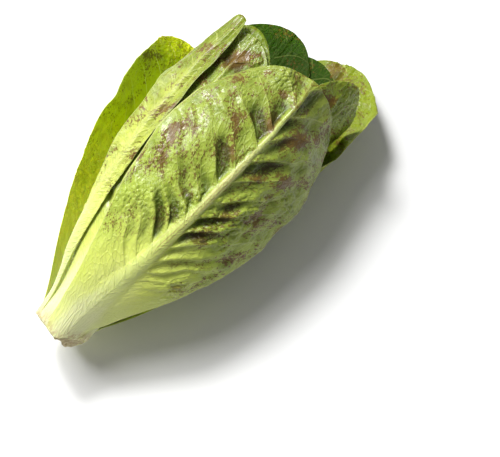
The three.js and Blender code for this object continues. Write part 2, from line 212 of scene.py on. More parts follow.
def place(t, bearing, r):
    """Where points of the head's cylinder coordinates are in space, in millimetres."""
    up = np.cos(np.radians(bearing)) * r
    side = np.sin(np.radians(bearing)) * r
    x = (t - REST_T) * COS_TILT - up * SIN_TILT - AXIS_AT_REST * SIN_TILT
    z = AXIS_HEIGHT_AT_CUT + t * SIN_TILT + up * COS_TILT
    return np.stack(np.broadcast_arrays(x, -side, z), axis=-1)


def to_head(points):
    """The head's cylinder coordinates of points in space, the other way round."""
    x = points[..., 0] + REST_T * COS_TILT + AXIS_AT_REST * SIN_TILT
    z = points[..., 2] - AXIS_HEIGHT_AT_CUT
    t = x * COS_TILT + z * SIN_TILT
    up = z * COS_TILT - x * SIN_TILT
    side = -points[..., 1]
    return t, np.degrees(np.arctan2(side, up)), np.hypot(side, up)


def stem_radius(t):
    s = np.clip((t - STEM_BUTT) / (STEM_LENGTH - STEM_BUTT), 0, 1)
    return mix(STEM_RADIUS, STEM_TOP_RADIUS, s)


def section(bearing, past_root):
    angle = np.radians(bearing)
    oval = 1 / np.hypot(np.cos(angle) / FLATTER_UP, np.sin(angle) / WIDER_ACROSS)
    return mix(1, oval, ease(0, ROUND_BASE, past_root))


def floor_radius(t, bearing, height):
    """The radius at which a point reaches a height above the surface."""
    down = -np.cos(np.radians(bearing)) * COS_TILT
    reach = (AXIS_HEIGHT_AT_CUT + t * SIN_TILT - height) / np.maximum(down, 0.05)
    return np.where(down < 0.05, 1e3, reach)


def cut_height(bearing, r):
    """How far along the axis the cut lies: oblique on one side, torn back towards the leaves on the other."""
    across = r * np.sin(np.radians(bearing))
    return np.interp(across, [-20, -6, 6, 9, 22], [-2.4, -5.0, -8.0, -7.0, 6.5])


def outline(u):
    rising = mix(BASE_SHARE, 1, np.sin(np.pi / 2 * (np.clip(u, 0, WIDEST_AT) / WIDEST_AT) ** BASE_SPREAD))
    past = np.clip((u - WIDEST_AT) / (1 - WIDEST_AT), 0, 1)
    return np.where(u < WIDEST_AT, rising, np.sqrt(1 - (BLUNTNESS * past) ** BLUNT_POWER))


def swollen_radius(t, leaf):
    grown = np.clip((t - leaf["root"]) / SWELL_LENGTH, 0, 1)
    return mix(leaf["root_radius"], leaf["radius"], 1 - (1 - grown) ** leaf["swell"])


def leaf_point(u, v, leaf):
    """Where a leaf's point lies along and round the head: u is 0 to 1 from root to tip, v -1 to 1 across."""
    rounding = min(TIP_ROUNDING * leaf["length"], MOST_ROUNDING * leaf["half"])
    t = leaf["root"] + leaf["length"] * u - rounding * ease(0.6, 1, u) * v * v
    local = swollen_radius(t, leaf) * section(leaf["bearing"], t - leaf["root"])
    turn = np.degrees(v * leaf["half"] * outline(u) / local)
    return t, leaf["bearing"] + leaf["lean"] * u + MOST_WRAP * np.tanh(turn / MOST_WRAP)


def corner_mix(value_at, a, b):
    """The value between four corners, a along the first way and b along the second."""
    low = mix(value_at(0, 0), value_at(1, 0), a)
    high = mix(value_at(0, 1), value_at(1, 1), a)
    return mix(low, high, b)


def value_noise(x, y, seed, octaves=2):
    """Smooth random values from -1 to 1 over a plane whose cells are one unit wide."""
    total = np.zeros(np.broadcast(x, y).shape)
    for octave in range(octaves):
        table = np.random.default_rng(seed + octave).uniform(-1, 1, (64, 64))
        px, py = x * 2 ** octave, y * 2 ** octave
        i, j = np.floor(px).astype(int), np.floor(py).astype(int)
        value_at = lambda di, dj: table[(i + di) % 64, (j + dj) % 64]
        total += corner_mix(value_at, ease(0, 1, px - i), ease(0, 1, py - j)) / 2 ** octave
    return total


def pillow_height(x, y, seed):
    """Pillows over a plane: 0 on the network between cells one unit wide, 1 in their middles."""
    table = np.random.default_rng(seed).uniform(0.1, 0.9, (64, 64, 2))
    i, j = np.floor(x).astype(int), np.floor(y).astype(int)
    nearest = np.full(np.broadcast(x, y).shape, 9.0)
    second = nearest.copy()
    for di in (-1, 0, 1):
        for dj in (-1, 0, 1):
            spot = table[(i + di) % 64, (j + dj) % 64]
            distance = np.hypot(i + di + spot[..., 0] - x, j + dj + spot[..., 1] - y)
            second = np.minimum(second, np.maximum(distance, nearest))
            nearest = np.minimum(nearest, distance)
    return ease(0, 0.6, second - nearest)


def smooth_through(xs, ys, x):
    """Cubic curves through the columns of ys, given at xs, taken at x."""
    slope = np.gradient(ys, xs, axis=0)
    i = np.clip(np.searchsorted(xs, x) - 1, 0, len(xs) - 2)
    step = (xs[i + 1] - xs[i])[:, None]
    s = ((x - xs[i])[:, None]) / step
    return ((2 * s ** 3 - 3 * s ** 2 + 1) * ys[i] + (s ** 3 - 2 * s ** 2 + s) * step * slope[i]
            + (3 * s ** 2 - 2 * s ** 3) * ys[i + 1] + (s ** 3 - s ** 2) * step * slope[i + 1])


def solid_radii(leaf):
    """The radii of the middle of the solid leaf, at ROWS and COLUMNS, found by looking out from the axis."""
    tree = BVHTree.FromObject(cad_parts[leaf["name"]], bpy.context.evaluated_depsgraph_get())
    just_past = 1e-5
    found = np.full((len(ROWS), len(COLUMNS)), np.nan)
    for i, u in enumerate(np.clip(ROWS, 0.004, 0.992)):
        for j, v in enumerate(np.clip(COLUMNS, -0.985, 0.985)):
            t, bearing = leaf_point(u, v + 0.003, leaf)
            start = Vector(place(t, bearing, 0.0) * MM)
            way = (Vector(place(t, bearing, 1.0) * MM) - start).normalized()
            spot, _, _, inner = tree.ray_cast(start, way)
            if spot is None:
                continue
            far_spot, _, _, thick = tree.ray_cast(spot + way * just_past, way)
            outer = inner if far_spot is None else inner + just_past + thick
            found[i, j] = (inner + outer) / 2 / MM
    for j in range(found.shape[1]):
        known = ~np.isnan(found[:, j])
        found[:, j] = np.interp(ROWS, ROWS[known], found[known, j])
    return found


def soften(radii, share=0.35):
    """Evens out small steps between neighbouring rows and columns, but not at the root."""
    padded = np.pad(radii, 1, mode="edge")
    around = (padded[:-2, 1:-1] + padded[2:, 1:-1] + padded[1:-1, :-2] + padded[1:-1, 2:]) / 4
    eased = mix(radii, around, share)
    eased[0] = radii[0]
    return eased


class Reach:
    """How far out the leaves laid so far reach, in cells a millimetre long and a degree wide."""
    LENGTH = 300
    ROUND = 360

    def __init__(self):
        self.radii = np.zeros((self.LENGTH, self.ROUND))

    def cover(self, points):
        t, bearing, r = to_head(points)
        i = np.clip(np.round(t).astype(int), 0, self.LENGTH - 1)
        j = np.round(bearing).astype(int) % self.ROUND
        layer = np.zeros_like(self.radii)
        np.maximum.at(layer, (i, j), r)
        for shift in (1, -1, 2, -2):
            layer = np.maximum(layer, np.roll(layer, shift, axis=1) * (layer == 0))
        layer[1:] = np.maximum(layer[1:], layer[:-1] * (layer[1:] == 0))
        self.radii = np.maximum(self.radii, layer)

    def at(self, t, bearing):
        t = np.clip(t, 0, self.LENGTH - 2)
        i, j = np.floor(t).astype(int), np.floor(bearing).astype(int)
        radius_at = lambda dj, di: self.radii[i + di, (j + dj) % self.ROUND]
        return corner_mix(radius_at, bearing - j, t - i)


def rib_shape(u, across, leaf):
    """The rib's width beside its middle line, and its height over the blade at a distance from that line."""
    stout = leaf["rib"] / RIBS[0]
    shares = np.interp(u, [0, 0.1, 0.2, 0.5, 0.8, 1], [0.7, 0.42, 0.27, 0.14, 0.075, 0.04])
    heights = np.interp(u, [0, 0.1, 0.25, 0.5, 0.8, 1], [0.5, 0.9, 1.9, 1.5, 0.9, 0.1])
    width = shares * RIB_WIDTH * stout
    return width, heights * stout * np.clip(1 - (across / (width * 1.3)) ** 2, 0, 1) ** 1.2


def vein_phase(x, y, leaf):
    """A count that grows by one from each secondary vein to the next. They lie closer near the base."""
    across = np.abs(x)
    half = RIGHT_HALF * (x > 0)
    rise = VEIN_RISE * across * (1 - 0.25 * across / leaf["half"])
    wander = 2.6 * value_noise(across / 24 + half, y / 27, leaf["seed"])
    wander = (wander + 1.6 * value_noise(half, y / 19, leaf["seed"] + 2)) * leaf["unrest"]
    ahead = np.maximum(y - rise + wander, -50)
    return np.log1p(VEIN_WIDENING * ahead / VEIN_SPACING) / VEIN_WIDENING + np.where(x > 0, VEIN_SHIFT, 0)


def relief(u, v, leaf):
    """The leaf's relief: veins, hollows and rib, in millimetres, with what the material needs to know."""
    width = leaf["half"] * outline(u)
    x = v * width
    y = u * leaf["length"]
    across = np.abs(x)
    half = RIGHT_HALF * (x > 0)
    seed = leaf["seed"]
    unrest = leaf["unrest"]
    rib_width, rib = rib_shape(u, across, leaf)
    phase = vein_phase(x, y, leaf)

    # Hollows beside the rib: the blade falls steeply from the upper side of each vein and rises slowly
    # to the next.
    which = np.floor(phase)
    between = phase - which
    fall = np.where(x > 0, 1 - between, between)
    uneven = np.clip(0.72 + 0.62 * value_noise(which * 3.7 + half, across / 15, seed + 5), 0.05, 1.4)
    hollow = fall ** 0.7 * (1 - fall) ** 1.3 / HOLLOW_SCALE * uneven
    depth = np.where(x > 0, leaf["hollows"][1], leaf["hollows"][0])
    off_rib = ease(0.6, 2.2, across / np.maximum(rib_width, 1.2))
    near_rib = 1 - 0.75 * ease(8, 30 + 14 * value_noise(which * 5.3 + half, 0.5, seed + 6), across)
    inside = 1 - 0.75 * ease(0.8, 1, np.abs(v))
    along = ease(0.16, 0.38, u) * (1 - 0.45 * ease(0.8, 1, u))
    # sunk marks the deep hollows: the material darkens them as painted shade and crowds maroon specks into
    # them.
    sunk = np.clip(hollow, 0, 1.2) * off_rib * along * near_rib * np.clip(depth / DEEP_HOLLOW, 0, 1.1)

    # Pillows between the finer veins where the blade is blistered, and creases that run with the veins.
    zone = value_noise(x / 26 + 3, y / 24, seed + 41) + 0.9 * np.exp(-((u - 0.42) / 0.12) ** 2)
    blistered = ease(0.1, 0.7, zone + 0.6 * ease(0.8, 0.95, u) - 0.25)
    pillows = pillow_height(phase * 1.9 + 40, across / PILLOW_SIZE + 20 + half, seed + 31)
    small = pillow_height(x / SMALL_PILLOW_SIZE + 60, y / SMALL_PILLOW_SIZE + 60, seed + 51)
    crease = (1 - np.abs(value_noise(phase * 1.5 + half, across / 13, seed + 11))) ** 3
    blisters = CREASE_HEIGHT * crease + PILLOW_HEIGHT * pillows + SMALL_PILLOW_HEIGHT * small

    # Broader swellings, lumps towards the margins and buckles between the veins.
    swell = SWELL_HEIGHT * value_noise(x / 32 + 5, y / 36, seed + 3)
    lumps = np.where(x > 0, 1.3, 0.8) * ease(10, 26, across) * value_noise(x / 13 + 5, y / 15, seed + 4)
    buckle = BUCKLE_HEIGHT * value_noise(phase * 1.6 + 9, across / 11 + half, seed + 17)
    lively = off_rib * inside * ease(0.1, 0.32, u) * unrest
    height = unrest * swell * ease(0.1, 0.4, u) - depth * hollow * off_rib * inside * along * near_rib
    height += lively * (buckle + lumps + mix(0.2, 1.2, blistered) * blisters)
    if leaf["fold"]:
        at, deep, wide = leaf["fold"]
        height -= deep * np.exp(-((x - at) / wide) ** 2) * ease(0.2, 0.4, u)
    facts = dict(x=x, y=y, across=across, phase=phase, from_rib=across / np.maximum(rib_width, 0.5),
                 hollow=sunk, blistered=blistered, maroon=maroon_patches(x, y, leaf))
    return height, rib * mix(1, leaf["shown"], ease(0.1, 0.3, u)), facts


def maroon_patches(x, y, leaf):
    """How strongly a leaf's maroon patches cover each place: ellipses that lie along the veins."""
    cover = np.zeros(x.shape)
    for u, v, length, width, strength in leaf["patches"]:
        middle_x, middle_y = v * leaf["half"] * outline(u), u * leaf["length"]
        slope = math.atan2(VEIN_RISE, math.copysign(1, v))
        along = (x - middle_x) * math.cos(slope) + (y - middle_y) * math.sin(slope)
        aside = (y - middle_y) * math.cos(slope) - (x - middle_x) * math.sin(slope)
        cover = np.maximum(cover, strength * np.exp(-(along / length) ** 2 * 2 - (aside / width) ** 2 * 2))
    return cover


def leaf_mesh(leaf, reach):
    """The points of a leaf's outer and inner faces, and what its material reads from them."""
    rows, columns = leaf["grid"]
    u = np.linspace(0, 1, rows) ** ROW_CROWDING
    even = np.linspace(-1, 1, columns)
    v = np.sign(even) * np.abs(even) ** COLUMN_CROWDING
    U, V = np.meshgrid(u, v, indexing="ij")
    t, bearing = leaf_point(U, V, leaf)
    if leaf["own_solid"]:
        radii = soften(soften(solid_radii(leaf)))
        base = smooth_through(ROWS, smooth_through(COLUMNS, radii.T, v).T, u)
    else:
        base = swollen_radius(t, leaf) * section(bearing, t - leaf["root"]) + leaf["flare"] * V ** 2 * U
    height, rib, facts = relief(U, V, leaf)
    thick = BLADE * mix(1, MARGIN_THINNING, ease(0.9, 1, np.maximum(np.abs(V), U)))
    free = base + leaf["lift"] * ease(0.1, 0.35, U) + height
    needed = reach.at(t, bearing) + leaf["gap"] + thick / 2
    pushed = LYING_SOFTNESS * np.logaddexp(0, (needed - free) / LYING_SOFTNESS)
    r = free + pushed * ease(0, 0.05, U)
    r = np.minimum(r, floor_radius(t, bearing, leaf["floor_gap"] + thick / 2))
    points = root_drawn_in(place(t, bearing, r), t, bearing, r, U, V, leaf)
    normal = normals(points)
    outer = points + normal * (thick / 2 + rib)[..., None]
    inner = points - normal * (thick / 2)[..., None]
    outer[..., 2] = np.maximum(outer[..., 2], leaf["floor_gap"])
    inner[..., 2] = np.maximum(inner[..., 2], leaf["floor_gap"] + PRESSED_BLADE)
    reach.cover(outer)
    return outer, inner, facts, U, V


def root_drawn_in(points, t, bearing, r, U, V, leaf):
    """Draws the leaf's root down to the cut and into the stem, as a leaf base grows."""
    pull = 1 - ease(0, 0.045, U)
    to_cut = cut_height(bearing, r) + 0.4 if leaf["to_cut"] else t - 3
    low_t = mix(t, np.minimum(t, to_cut), pull)
    low_r = mix(r, np.minimum(r, stem_radius(low_t) - 0.6 + 1.6 * (1 - V ** 2)), pull)
    return np.where(pull[..., None] > 0, place(low_t, bearing, low_r), points)


def normals(points):
    lengthwise = np.gradient(points, axis=0)
    crosswise = np.gradient(points, axis=1)
    normal = np.cross(crosswise, lengthwise)
    return normal / np.maximum(np.linalg.norm(normal, axis=-1, keepdims=True), 1e-9)


def closed_faces(rows, columns):
    """Quads of a closed blade: outer face, inner face and the edge between them."""
    index = np.arange(rows * columns).reshape(rows, columns)
    a, b, c, d = index[:-1, :-1], index[:-1, 1:], index[1:, 1:], index[1:, :-1]
    outer = np.stack([a, b, c, d], axis=-1).reshape(-1, 4)
    far = rows * columns
    inner = outer[:, ::-1] + far
    rim = np.concatenate([index[0, :], index[1:, -1], index[-1, -2::-1], index[-2:0:-1, 0]])
    after = np.roll(rim, -1)
    wall = np.stack([after, rim, rim + far, after + far], axis=-1)
    return np.concatenate([outer, inner, wall])


def make_mesh(name, points, faces, facts, material):
    """A smooth mesh object from points in millimetres, with its facts kept as attributes."""
    mesh = bpy.data.meshes.new(name)
    mesh.vertices.add(len(points))
    mesh.vertices.foreach_set("co", (points * MM).astype(np.float32).ravel())
    mesh.loops.add(faces.size)
    mesh.loops.foreach_set("vertex_index", faces.astype(np.int32).ravel())
    mesh.polygons.add(len(faces))
    mesh.polygons.foreach_set("loop_start", np.arange(0, faces.size, faces.shape[1], dtype=np.int32))
    mesh.polygons.foreach_set("use_smooth", np.ones(len(faces), dtype=bool))
    mesh.update(calc_edges=True)
    for key, values in facts.items():
        attribute = mesh.attributes.new(key, "FLOAT_VECTOR", "POINT")
        attribute.data.foreach_set("vector", values.astype(np.float32).ravel())
    mesh.validate()
    mesh.materials.append(material)
    piece = bpy.data.objects.new(name, mesh)
    bpy.context.scene.collection.objects.link(piece)
    return piece


def triples(*parts):
    return np.stack(np.broadcast_arrays(*parts), axis=-1).reshape(-1, 3)


def leaf_facts(facts, U, V, leaf):
    """What the material reads at each point, first for the blade's outer face and then for its inner one."""
    on_both = {
        "leaf": triples(facts["x"], facts["y"], leaf["seed"] * NEXT_LEAF),
        "vein": triples(facts["phase"], facts["from_rib"], facts["hollow"]),
        "kind": triples(facts["across"], leaf["speckle"], leaf["shown"]),
        "marks": triples(facts["maroon"], facts["blistered"], 0.0),
    }
    kept = {key: np.concatenate([values, values]) for key, values in on_both.items()}
    kept["spot"] = np.concatenate([triples(U, np.abs(V), face) for face in (0.0, 1.0)])
    return kept


def add_leaf(leaf, reach, materials):
    outer, inner, facts, U, V = leaf_mesh(leaf, reach)
    points = np.concatenate([outer.reshape(-1, 3), inner.reshape(-1, 3)])
    faces = closed_faces(*U.shape)
    return make_mesh(leaf["piece"], points, faces, leaf_facts(facts, U, V, leaf), materials[leaf["look"]])


class Nodes:
    """Short names for the shader nodes that the materials are made of."""

    def __init__(self, name):
        self.material = bpy.data.materials.new(name)
        self.material.use_nodes = True
        self.tree = self.material.node_tree
        self.shader = self.tree.nodes["Principled BSDF"]

    def put(self, kind, inputs=(), **settings):
        node = self.tree.nodes.new(kind)
        for key, value in settings.items():
            setattr(node, key, value)
        for key, value in dict(inputs).items():
            self.feed(node.inputs[key], value)
        return node

    def feed(self, socket, value):
        if isinstance(value, bpy.types.NodeSocket):
            self.tree.links.new(value, socket)
        elif hasattr(socket.default_value, "__len__") and len(socket.default_value) == 4:
            socket.default_value = (*value, 1.0) if len(value) == 3 else value
        else:
            socket.default_value = value

    def math(self, operation, a, b=0.0, c=0.0):
        return self.put("ShaderNodeMath", {0: a, 1: b, 2: c}, operation=operation).outputs[0]

    def times(self, a, b):
        return self.math("MULTIPLY", a, b)

    def plus(self, a, b):
        return self.math("ADD", a, b)

    def minus(self, a, b):
        return self.math("SUBTRACT", a, b)

    def times_plus(self, a, b, c):
        return self.math("MULTIPLY_ADD", a, b, c)

    def larger(self, a, b):
        return self.math("MAXIMUM", a, b)

    def size(self, a):
        return self.math("ABSOLUTE", a)

    def attribute(self, name):
        parts = self.put("ShaderNodeAttribute", attribute_name=name)
        split = self.put("ShaderNodeSeparateXYZ", {0: parts.outputs["Vector"]})
        return parts.outputs["Vector"], split.outputs[0], split.outputs[1], split.outputs[2]

    def vector(self, x, y, z):
        return self.put("ShaderNodeCombineXYZ", {0: x, 1: y, 2: z}).outputs[0]

    def noise(self, vector, scale, detail=2.0, roughness=0.5, distortion=0.0):
        inputs = {"Vector": vector, "Scale": scale, "Detail": detail,
                  "Roughness": roughness, "Distortion": distortion}
        return self.put("ShaderNodeTexNoise", inputs).outputs[0]

    def cells(self, vector, scale):
        return self.put("ShaderNodeTexVoronoi", {"Vector": vector, "Scale": scale},
                        feature="DISTANCE_TO_EDGE").outputs["Distance"]

    def smooth(self, value, low, high):
        inputs = {"Value": value, "From Min": low, "From Max": high}
        return self.put("ShaderNodeMapRange", inputs, interpolation_type="SMOOTHSTEP").outputs[0]

    def fading(self, value, low, high):
        """1 up to a low value, then falling to 0 at a high one."""
        return self.minus(1.0, self.smooth(value, low, high))

    def close_to(self, middle, value, low, high):
        """1 within a low distance of a middle value, falling to 0 at a high one."""
        return self.fading(self.size(self.minus(value, middle)), low, high)

    def mix(self, share, a, b):
        """A blend of two colours, which go into the node's sockets 6 and 7."""
        inputs = {"Factor": share, 6: a, 7: b}
        return self.put("ShaderNodeMix", inputs, data_type="RGBA").outputs[2]

    def ramp(self, value, stops):
        node = self.put("ShaderNodeValToRGB", {0: value})
        elements = node.color_ramp.elements
        while len(elements) < len(stops):
            elements.new(0.5)
        for element, (position, colour) in zip(elements, stops):
            element.position = position
            element.color = (*colour, 1.0)
        return node.outputs[0]

    def bump(self, height, strength, distance):
        inputs = {"Height": height, "Strength": strength, "Distance": distance}
        return self.put("ShaderNodeBump", inputs).outputs[0]

    def glow(self, weight, radius, scale):
        """Light that scatters under the surface."""
        self.shader.inputs["Subsurface Weight"].default_value = weight
        self.shader.inputs["Subsurface Radius"].default_value = radius
        self.shader.inputs["Subsurface Scale"].default_value = scale


# Colours, from the cream of the leaf bases to the dark brown that the maroon turns in the hollows as painted
# shade.
CREAM = (0.78, 0.80, 0.44)
PALE = (0.60, 0.68, 0.17)
RIB = (0.56, 0.60, 0.22)
MAROON = (0.135, 0.056, 0.014)
# Painted shade: the maroon darkened where it lies in a hollow.
MAROON_IN_SHADE = (0.045, 0.021, 0.003)
TAN = (0.40, 0.23, 0.10)
WORN = (0.20, 0.10, 0.02)
# Painted sheen: the grey of the band along the right margins.
PAINTED_SHEEN_GREY = (0.30, 0.34, 0.20)
# Dark green, also used as painted shade in the hollows.
DARK_GREEN_AND_SHADE = (0.048, 0.082, 0.002)

# The leaves' looks: the colours from the young base to the old tip, and the dark ones, used for darker clouds
# and stains and as painted shade in their hollows;
# how rough they are, how soon their base turns green, how they scatter light, their gloss and their veins.
PLAIN_LOOK = dict(dark_and_shade=DARK_GREEN_AND_SHADE, rough=0.34, ahead=0.0, glow=0.2, gloss=0.2, veins=1.0)
LEAF_LOOKS = dict(
    leaf_outer=dict(young=(0.62, 0.70, 0.14), mid=(0.38, 0.48, 0.06), old=(0.27, 0.34, 0.045), gloss=0.26),
    leaf_pale=dict(young=(0.62, 0.70, 0.14), mid=(0.28, 0.37, 0.045), old=(0.22, 0.29, 0.035), gloss=0.28),
    leaf_far=dict(young=(0.50, 0.58, 0.08), mid=(0.27, 0.35, 0.015), old=(0.23, 0.29, 0.012), gloss=0.24),
    leaf_shade=dict(young=(0.45, 0.55, 0.08), mid=(0.28, 0.36, 0.03), old=(0.22, 0.28, 0.03), gloss=0.1),
    leaf_sunlit=dict(young=(0.90, 0.92, 0.32), mid=(0.68, 0.75, 0.05), old=(0.40, 0.44, 0.012),
                     dark_and_shade=(0.32, 0.28, 0.012), rough=0.5, ahead=-0.2, glow=0.85, gloss=0.06, veins=1.45),
    leaf_strip=dict(young=(0.70, 0.76, 0.20), mid=(0.54, 0.61, 0.11), old=(0.17, 0.22, 0.012), ahead=-0.05),
    # Dark green, darkened further as painted shade, for the leaves deep inside the head.
    leaf_dark_and_painted_shade=dict(young=(0.16, 0.24, 0.02), mid=(0.030, 0.072, 0.001), old=(0.020, 0.050, 0.001),
                   dark_and_shade=(0.012, 0.035, 0.001), rough=0.6, gloss=0.0, veins=0.3),
    leaf_inner=dict(young=(0.46, 0.55, 0.10), mid=(0.20, 0.27, 0.025), old=(0.15, 0.21, 0.015),
                    ahead=-0.06, gloss=0.1),
    leaf_heart=dict(young=(0.62, 0.68, 0.20), mid=(0.42, 0.50, 0.10), old=(0.31, 0.40, 0.06),
                    dark_and_shade=(0.16, 0.22, 0.03), ahead=-0.12, gloss=0.1),
)


def mix3(a, b, s):
    return tuple(mix(p, q, s) for p, q in zip(a, b))


class OnLeaf:
    """What a leaf's material reads from its mesh, and the noise that several of its parts share."""

    def __init__(self, n):
        self.place, self.x, self.y, self.number = n.attribute("leaf")
        _, self.phase, self.from_rib, hollow = n.attribute("vein")
        _, self.u, self.edge, self.face = n.attribute("spot")
        _, self.across, self.speckle, self.shown = n.attribute("kind")
        _, self.patch, self.blistered, _ = n.attribute("marks")
        # sunk: the deep hollows, which the material darkens as painted shade.
        self.sunk = n.times(hollow, n.smooth(self.u, 0.14, 0.4))
        self.drift = n.noise(self.place, 0.05, 3.0)
        self.specks = n.noise(self.place, 0.55, 5.0, 0.68, 0.3)
        grain = n.vector(n.times(self.phase, 6.5), n.times(self.across, 0.26), self.number)
        self.grain = n.noise(grain, 1.5, 5.0, 0.65, 0.5)
        along_rib = n.vector(n.times(self.x, 1.3), n.times(self.y, 0.03), self.number)
        self.streak = n.noise(along_rib, 1.0, 3.0)


def green_blade(n, on, look):
    """Cream at the root, then pale green and green towards the tip, darker in clouds (more so on the right
    half, as painted shade), with painted shade in the hollows.
    """
    young, dark_and_shade = look["young"], look["dark_and_shade"]
    reach = n.times_plus(on.edge, 0.16, on.u)
    ripeness = n.plus(reach, n.times_plus(on.drift, 0.16, look["ahead"] - 0.08))
    blade = n.ramp(ripeness, [(0.03, CREAM), (0.14, mix3(CREAM, young, 0.6)), (0.27, young),
                              (0.5, look["mid"]), (0.95, look["old"])])
    cloud = n.smooth(n.noise(on.place, 0.11, 4.0, 0.6), 0.42, 0.72)
    # Darker clouds are random tone, made stronger on the right half (x > 0) as painted shade.
    darker = n.times(cloud, n.times_plus(n.smooth(on.x, 2.0, 30.0), 0.16, 0.36))
    blade = n.mix(darker, blade, n.mix(n.smooth(on.u, 0.15, 0.45), blade, dark_and_shade))
    # Painted shade: the blade turns towards the dark colour in its deep hollows.
    return n.mix(n.times(n.smooth(on.sunk, 0.25, 0.95), 0.85), blade, dark_and_shade), ripeness


def veined(n, on, look, blade):
    """The blade with its fine network and its secondary veins, and these two on their own."""
    net = n.cells(n.vector(n.times(on.phase, 2.6), n.times(on.across, 0.22), on.number), 1.0)
    net_line = n.times(n.fading(net, 0.0, 0.08), 0.2 * look["veins"])
    blade = n.mix(n.times(net_line, n.smooth(on.u, 0.1, 0.3)), blade, mix3(look["mid"], RIB, 0.55))
    away = n.size(n.minus(n.math("FRACT", n.plus(on.phase, 0.5)), 0.5))
    thin = n.times_plus(on.edge, -0.025, 0.042)
    vein = n.fading(n.math("DIVIDE", away, thin), 0.35, 1.0)
    vein = n.times(vein, n.times(n.smooth(on.edge, 0.97, 0.4), n.smooth(on.u, 0.05, 0.2)))
    pale = n.times(vein, n.times_plus(on.face, 0.25 * look["veins"], 0.42 * look["veins"]))
    return n.mix(pale, blade, mix3(RIB, look["young"], 0.5)), vein, net


def speckled(n, on, look, blade, ripeness):
    """The blade with maroon patches and sharp speckles drawn out along the veins, and the maroon itself,
    darkened in the hollows as painted shade.
    """
    groups = n.noise(on.place, 0.075, 3.0, 0.55)
    wear = n.noise(on.place, 0.25, 4.0, 0.65)
    where = n.times(n.smooth(ripeness, 0.24, 0.5), n.times_plus(on.edge, 0.35, 0.65))
    where = n.larger(where, n.times(n.smooth(on.patch, 0.3, 0.8), 0.88))
    crowd = n.plus(n.times_plus(groups, 0.46, -0.23), n.times(on.patch, 0.112))
    crowd = n.plus(crowd, n.times_plus(on.speckle, 0.06, n.times(on.sunk, 0.045)))
    level = n.plus(n.times_plus(on.grain, 0.5, n.times(on.specks, 0.5)), crowd)
    blotch = n.times(n.smooth(level, 0.608, 0.628), where)
    stain = n.times(n.smooth(level, 0.55, 0.66), n.times(where, 0.3))
    maroon = n.mix(n.smooth(wear, 0.4, 0.7), MAROON, mix3(MAROON, WORN, 0.7))
    # Painted shade: in the hollows the maroon turns dark brown.
    maroon = n.mix(n.smooth(on.sunk, 0.2, 0.8), maroon, MAROON_IN_SHADE)
    blade = n.mix(stain, blade, mix3(look["dark_and_shade"], MAROON, 0.7))
    return n.mix(n.times(blotch, 0.95), blade, maroon), maroon


def ribbed(n, on, look, blade, maroon):
    """The blade with its pale rib, brown lines along the rib, and maroon where the rib ends."""
    rib = n.times(n.fading(on.from_rib, 0.62, 1.1), n.smooth(on.u, 0.93, 0.78))
    rib = n.times(rib, n.larger(on.shown, n.smooth(on.u, 0.3, 0.1)))
    pale = n.ramp(on.u, [(0.0, CREAM), (0.14, mix3(CREAM, PALE, 0.7)), (0.35, PALE), (0.6, RIB),
                         (0.9, mix3(RIB, look["mid"], 0.5))])
    streaks = n.times(n.smooth(on.streak, 0.45, 0.75), 0.35)
    colour = n.mix(rib, blade, n.mix(streaks, pale, mix3(RIB, look["young"], 0.5)))
    outside = n.times(n.minus(1.0, on.face), on.shown)
    beside = n.close_to(0.92, on.from_rib, 0.04, 0.22)
    middle = n.times(n.close_to(0.8, n.size(on.x), 0.12, 0.5), n.smooth(on.u, 0.8, 0.55))
    broken = n.times(n.smooth(on.u, 0.24, 0.36), n.smooth(on.streak, 0.3, 0.55))
    line = n.times(n.times(n.larger(n.times(beside, 0.5), middle), broken), outside)
    colour = n.mix(n.times(line, 0.55), colour, TAN)
    ending = n.times(n.fading(on.across, 0.3, 1.0), n.smooth(on.u, 0.80, 0.90))
    ending = n.times(ending, n.smooth(on.grain, 0.4, 0.6))
    return n.mix(n.times(ending, n.times(outside, 0.6)), colour, maroon)


def edged(n, on, look, colour):
    """Browned fibre at the root, pale margins, a painted grey sheen along the right one, and a duller inner
    face.
    """
    fibre = n.times(n.smooth(on.u, 0.022, 0.006), n.smooth(on.specks, 0.4, 0.6))
    colour = n.mix(n.times(fibre, 0.6), colour, TAN)
    rim = n.times(n.smooth(on.edge, 0.972, 0.99), 0.6)
    colour = n.mix(rim, colour, mix3(RIB, look["young"], 0.3))
    # Painted sheen: a grey band along each leaf's right margin, where the blade turns away.
    right = n.times(n.smooth(on.x, 5.0, 20.0), n.smooth(on.u, 0.5, 0.65))
    painted_sheen = n.times(n.smooth(on.edge, 0.945, 0.965), right)
    colour = n.mix(n.times(painted_sheen, 0.5), colour, PAINTED_SHEEN_GREY)
    return n.mix(n.times(on.face, 0.12), colour, mix3(look["mid"], look["dark_and_shade"], 0.25))


